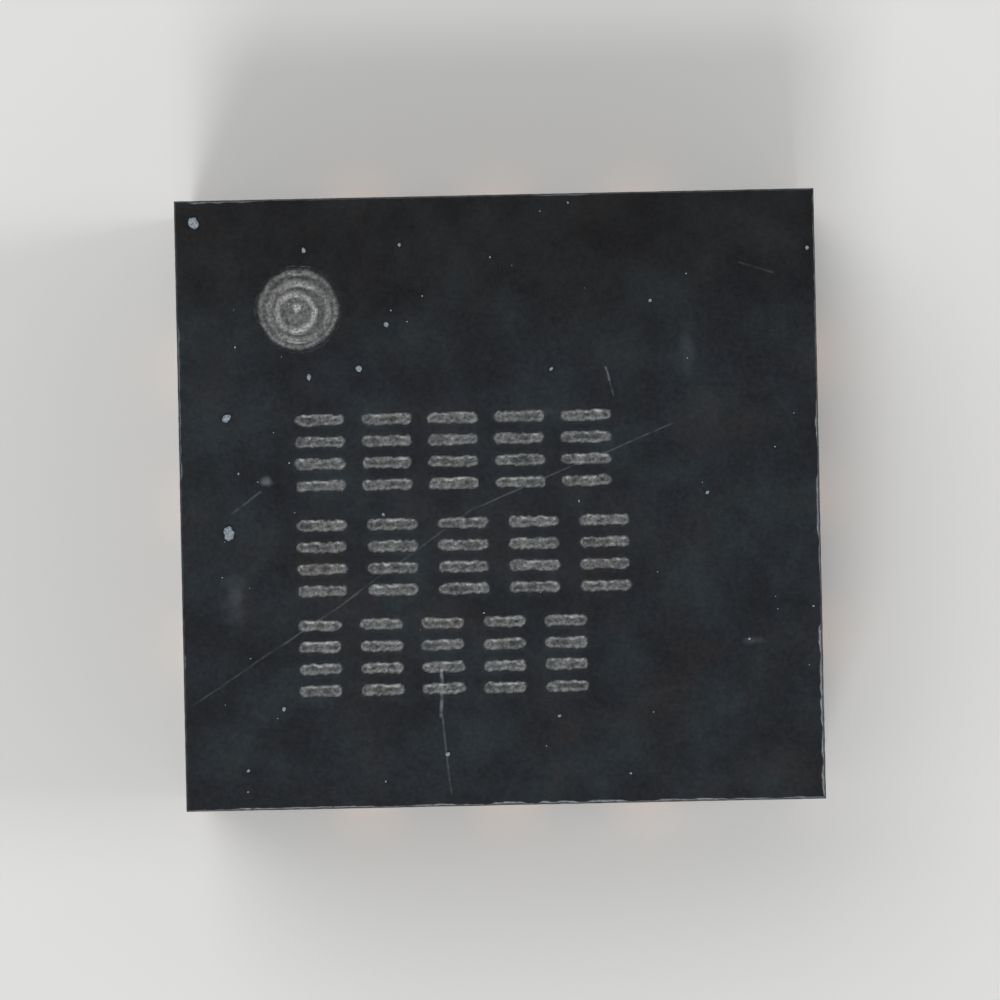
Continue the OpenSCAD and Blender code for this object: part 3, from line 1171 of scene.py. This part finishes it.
    def build(self) -> Object:
        """Builds the block.

        Returns:
            Its object, dressed and in place.
        """
        sheet = Sheet()
        cut_rim, cut_share = self.lower_part(sheet)
        rows, row_share, bare = self.edge_rows(sheet)
        ring, ring_share, laser = self.top_grid(sheet)
        sheet.add_faces(zip_rows(cut_rim, cut_share, rows[0], row_share), Skin.SAWN)
        for outer, inner in zip(rows, rows[1:]):
            sheet.add_faces(join_rows(outer, inner), Skin.TOP)
        sheet.add_faces(zip_rows(rows[-1], row_share, ring, ring_share), Skin.TOP)
        mesh = bpy.data.meshes.new("moulded_body")
        mesh.from_pydata(np.vstack(sheet.points).tolist(), [], sheet.faces)
        mesh.polygons.foreach_set("material_index", sheet.skins)
        self.store(mesh, "laser", {ring.min(): laser})
        # Pale paint on the edges: bare silica in the breaks, and a painted highlight along their lips
        self.store(mesh, "chip", {row[0]: values for row, values in zip(rows, bare)})
        mesh.set_sharp_from_angle(angle=SHARP)
        mesh.polygons.foreach_set("use_smooth", [skin == Skin.TOP for skin in sheet.skins])
        # One finish for each member of Skin, in its order
        moulded = MouldedEpoxy("epoxy_moulded_satin_and_lasered", roughness=0.38, ior=1.52)
        sawn = SawnEpoxy("epoxy_diamond_sawn", roughness=0.56, ior=1.52)
        inner = MouldedEpoxy("epoxy_moulded_satin", roughness=0.42, ior=1.52, marked=False)
        body = add_piece(mesh, Slot.EPOXY, moulded, sawn, inner)
        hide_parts(self.node)
        return body

    def store(self, mesh: bpy.types.Mesh, name: str, runs: dict[int, Array]) -> None:
        """Stores a number for each vertex.

        Args:
            mesh: The mesh.
            name: The attribute's name.
            runs: Values by the number of the first vertex that they belong to. The rest get 0.
        """
        values = np.zeros(len(mesh.vertices), np.float32)
        for start, run in runs.items():
            values[start : start + len(run)] = run
        mesh.attributes.new(name, "FLOAT", "POINT").data.foreach_set("value", values)


@dataclass(frozen=True)
class Speck:
    """A grain of dust on the top face."""

    x: float
    y: float
    size: float


# The specks that show
SPECKS = (
    Speck(-1.034, 0.974, 0.036), Speck(-0.933, -0.097, 0.039), Speck(-0.934, 0.300, 0.024),
    Speck(-0.476, 0.461, 0.0215), Speck(1.073, 0.845, 0.013), Speck(-0.648, 0.436, 0.0175),
    Speck(-0.379, 0.611, 0.018), Speck(-0.328, 0.884, 0.011), Speck(0.530, 0.675, 0.012),
    Speck(-0.657, 0.872, 0.018), Speck(0.185, 0.447, 0.012), Speck(-0.402, -0.042, 0.011),
    Speck(0.271, -0.009, 0.008), Speck(0.713, 0.011, 0.0125), Speck(0.847, -0.495, 0.008),
    Speck(0.189, -0.746, 0.011), Speck(-0.884, -0.913, 0.010), Speck(0.430, -0.949, 0.009),
    Speck(-0.757, -0.703, 0.014), Speck(-0.198, -0.870, 0.017),
)


@dataclass
class DustSpecks:
    """Dust that lies on the top face."""

    strays: int = 46  # How many grains lie between the specks that show
    stray_size: float = 0.0075  # Width of the largest of those
    border: float = 0.03  # How far from the edges they keep
    large: float = 0.02  # Width from which a grain gets a finer mesh
    sunk: float = 0.2  # Share of a grain's half height that lies in the epoxy
    # Least and most of half a grain's length, width and height, as shares of its size
    halves: tuple[tuple[float, float], ...] = ((0.5, 0.62), (0.36, 0.5), (0.2, 0.28))
    # Reach and number of its large and its small lumps
    lumps: tuple[tuple[float, float], ...] = ((0.34, 1.7), (0.16, 4.1))

    def stray_specks(self, half_x: float, half_y: float) -> list[Speck]:
        """Scatters the finer grains.

        Args:
            half_x: Half the length of the top face.
            half_y: Half its width.

        Returns:
            Those grains.
        """
        draw = np.random.default_rng(51)
        reach_x, reach_y = half_x - self.border, half_y - self.border
        specks = []
        for _ in range(self.strays):
            x, y = draw.uniform(-reach_x, reach_x), draw.uniform(-reach_y, reach_y)
            specks.append(Speck(x, y, self.stray_size * draw.uniform(0.45, 1.0)))
        return specks

    def build(self) -> Object:
        """Builds the dust.

        Returns:
            One object with every grain.
        """
        half_x, half_y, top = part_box("mould_body")[1]
        mesh, draw = bmesh.new(), np.random.default_rng(52)
        for number, speck in enumerate([*SPECKS, *self.stray_specks(half_x / MM, half_y / MM)]):
            fineness = 3 if speck.size > self.large else 2
            ball = bmesh.ops.create_icosphere(mesh, subdivisions=fineness, radius=1)
            turn = draw.uniform(0, math.pi)
            long, wide, tall = (draw.uniform(*reach) for reach in self.halves)
            for vertex in ball["verts"]:
                lump = 1.0
                for (reach, count), shift in zip(self.lumps, ((number, 0, 0), (0, number, 0))):
                    lump += reach * noise.noise(vertex.co * count + Vector(shift))
                x, y, z = vertex.co.x * long * lump, vertex.co.y * wide * lump, vertex.co.z * tall * lump
                across, up = x * math.cos(turn) - y * math.sin(turn), x * math.sin(turn) + y * math.cos(turn)
                lift = z + tall * (1 - self.sunk)
                spot = (speck.x + across * speck.size, speck.y + up * speck.size, lift * speck.size)
                vertex.co = Vector(spot) * MM
                vertex.co.z += top
        data = bpy.data.meshes.new("dust_specks")
        mesh.to_mesh(data)
        mesh.free()
        data.shade_smooth()
        return add_piece(data, Slot.EPOXY, HouseDust("mineral_dust_loose", roughness=0.85))


@dataclass
class Leadframe:
    """The copper leads and the paddle, as packed, with etched edges and plated faces."""

    edge: float = 0.004  # Radius of the etched edges

    def dress(self) -> None:
        """Softens the edges and plates the faces."""
        copper = PlatedCopper("copper_etched_and_tin_plated", roughness=0.34, metallic=1.0).make()
        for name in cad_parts:
            if name.startswith("lead_") or name == "die_paddle":
                soften(dress(name, copper), self.edge)


@dataclass
class Die:
    """The silicon die with its aluminium pads, on its silver epoxy."""

    edge: float = 0.003  # Radius of the die's edges
    pad: float = 0.066  # Width of a pad
    pad_height: float = 0.0012  # Height of a pad above the glass
    flush: float = 0.001  # Distance from the die's top within which a vertex stands on it

    def ball_centres(self) -> list[Vector]:
        """Finds where each wire's ball stands on the die.

        Returns:
            The middle of each ball's foot, in metres.
        """
        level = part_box("die")[1].z
        centres = []
        for name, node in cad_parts.items():
            if "wire" in name:
                foot = [v.co for v in node.data.vertices if abs(v.co.z - level) < self.flush * MM]
                centres.append(sum(foot, Vector()) / len(foot))
        return centres

    def build(self) -> Object:
        """Dresses the die and its bond line, and builds the pads.

        Returns:
            One object with every pad.
        """
        silicon = PatternedSilicon("silicon_diced_and_patterned", roughness=0.2)
        soften(dress("die", silicon.make()), self.edge)
        dress("die_attach", SilverEpoxy("silver_epoxy_cured", roughness=0.5, metallic=0.8).make())
        mesh, size = bmesh.new(), Vector((self.pad, self.pad, self.pad_height)) * MM
        for centre in self.ball_centres():
            for vertex in bmesh.ops.create_cube(mesh, size=1)["verts"]:
                vertex.co = centre + vertex.co * size + Vector((0, 0, size.z / 2))
        upright = [edge for edge in mesh.edges if abs(edge.verts[0].co.z - edge.verts[1].co.z) > ON_WALL]
        bmesh.ops.bevel(mesh, geom=upright, offset=self.pad * MM / 8, segments=3, affect="EDGES")
        data = bpy.data.meshes.new("die_pads")
        mesh.to_mesh(data)
        mesh.free()
        aluminium = DrawnMetal("aluminium_sputtered", 0.3, 1.0, bright="#d8dadd", dull="#b9bcc0", grain=0.004)
        return add_piece(data, Slot.COPPER, aluminium)


@dataclass
class BondWires:
    """The gold wires, as packed, with their facets rounded."""

    levels: int = 2  # How often each facet is divided

    def dress(self) -> None:
        """Rounds and gilds the wires."""
        gold = DrawnMetal("gold_drawn", roughness=0.22, metallic=1.0).make()
        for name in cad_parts:
            if "wire" in name:
                wire = dress(name, gold)
                wire.modifiers.new("weld", "WELD").merge_threshold = WELD / 10
                smooth = wire.modifiers.new("round", "SUBSURF")
                smooth.levels = smooth.render_levels = self.levels


@dataclass(frozen=True)
class Lamp:
    """A large soft lamp, far from the object."""

    name: str
    bearing: float  # Where its light comes from, in degrees anticlockwise from +X
    elevation: float  # Its height above the floor, in degrees
    share: float  # Its share of the light on a level surface
    spread: float  # How wide it looks from the object, in degrees

    def hang(self) -> None:
        """Hangs the lamp, as strong as it takes to give its share of the light on a level surface."""
        bearing, elevation = math.radians(self.bearing), math.radians(self.elevation)
        light = bpy.data.lights.new(self.name, "SUN")
        light.energy = math.pi * self.share / math.sin(elevation)
        light.angle = math.radians(self.spread)
        flat = math.cos(elevation)
        source = Vector((math.cos(bearing) * flat, math.sin(bearing) * flat, math.sin(elevation)))
        holder = bpy.data.objects.new(self.name, light)
        holder.rotation_mode = "QUATERNION"
        holder.rotation_quaternion = source.to_track_quat("Z", "Y")
        bpy.context.scene.collection.objects.link(holder)


LAMPS = (Lamp("key", 260, 43, 0.26, 24), Lamp("side", 4, 32, 0.12, 18), Lamp("fill", 122, 43, 0.18, 50))


@dataclass
class Studio:
    """A pale floor, soft lamps, a dim ceiling with brighter walls, and the camera straight above."""

    floor_size: float = 400
    floor_gap: float = 0.001  # How far the floor lies below the lands, so that the two don't share a plane
    ceiling: float = 0.0  # Brightness straight above, where the camera shades the object
    walls: float = 0.66  # Brightness at the horizon
    wall_end: float = 0.62  # Height of a view up to the end of the walls, as a share of its length
    ceiling_start: float = 0.92  # The same up to the dim ceiling
    lens: float = 150  # Focal length of the camera
    sensor: float = 36  # Width of its sensor
    fill_share: float = 0.64  # Share of the picture's width that the object takes
    roll: float = -1.2  # How far the camera is turned about its axis, in degrees

    def build(self) -> None:
        """Sets up the whole studio."""
        bpy.context.scene.view_settings.view_transform = "Standard"
        self.lay_floor()
        for lamp in LAMPS:
            lamp.hang()
        self.light_room()
        self.place_camera()
        LOG.info("studio: %d lamps", len(LAMPS))

    def lay_floor(self) -> None:
        """Lays the floor under the lands."""
        bpy.ops.mesh.primitive_grid_add(x_subdivisions=8, y_subdivisions=8, size=self.floor_size * MM)
        floor = bpy.context.object
        floor.name = "floor"
        floor.location.z = -self.floor_gap * MM
        floor.data.materials.append(WhiteCard("card_matt_white", roughness=0.9).make())

    def light_room(self) -> None:
        """Lights the room evenly, brighter towards its walls than above."""
        world = bpy.data.worlds.new("room")
        bpy.context.scene.world = world
        world.use_nodes = True
        world.node_tree.nodes.clear()
        add = partial(add_node, world.node_tree)
        way = add("SeparateXYZ", (add("TexCoord").outputs["Generated"],))
        rise = (way.outputs["Z"], self.wall_end, self.ceiling_start)
        level = add("MapRange", (*rise, self.walls, self.ceiling))
        add("OutputWorld", (add("Background", ("#ffffff", level)),))

    def place_camera(self) -> None:
        """Places the camera straight above the object, which fills a set share of the square picture."""
        low, high = CAD_BOX
        distance = (high.x - low.x) / self.fill_share / self.sensor * self.lens
        data = bpy.data.cameras.new("camera")
        data.lens, data.sensor_width = self.lens, self.sensor
        data.clip_start, data.clip_end = distance / 100, distance * 100
        camera = bpy.data.objects.new("camera", data)
        camera.location = ((low.x + high.x) / 2, (low.y + high.y) / 2, high.z + distance)
        camera.rotation_euler = (0, 0, math.radians(self.roll))
        bpy.context.scene.collection.objects.link(camera)
        bpy.context.scene.camera = camera


def main() -> None:
    """Builds the pieces in order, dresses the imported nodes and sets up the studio."""
    logging.basicConfig(level=logging.INFO, format="%(message)s")
    Studio().build()
    MouldedBody().build()
    DustSpecks().build()
    Leadframe().dress()
    Die().build()
    BondWires().dress()


if __name__ == "__main__":
    main()
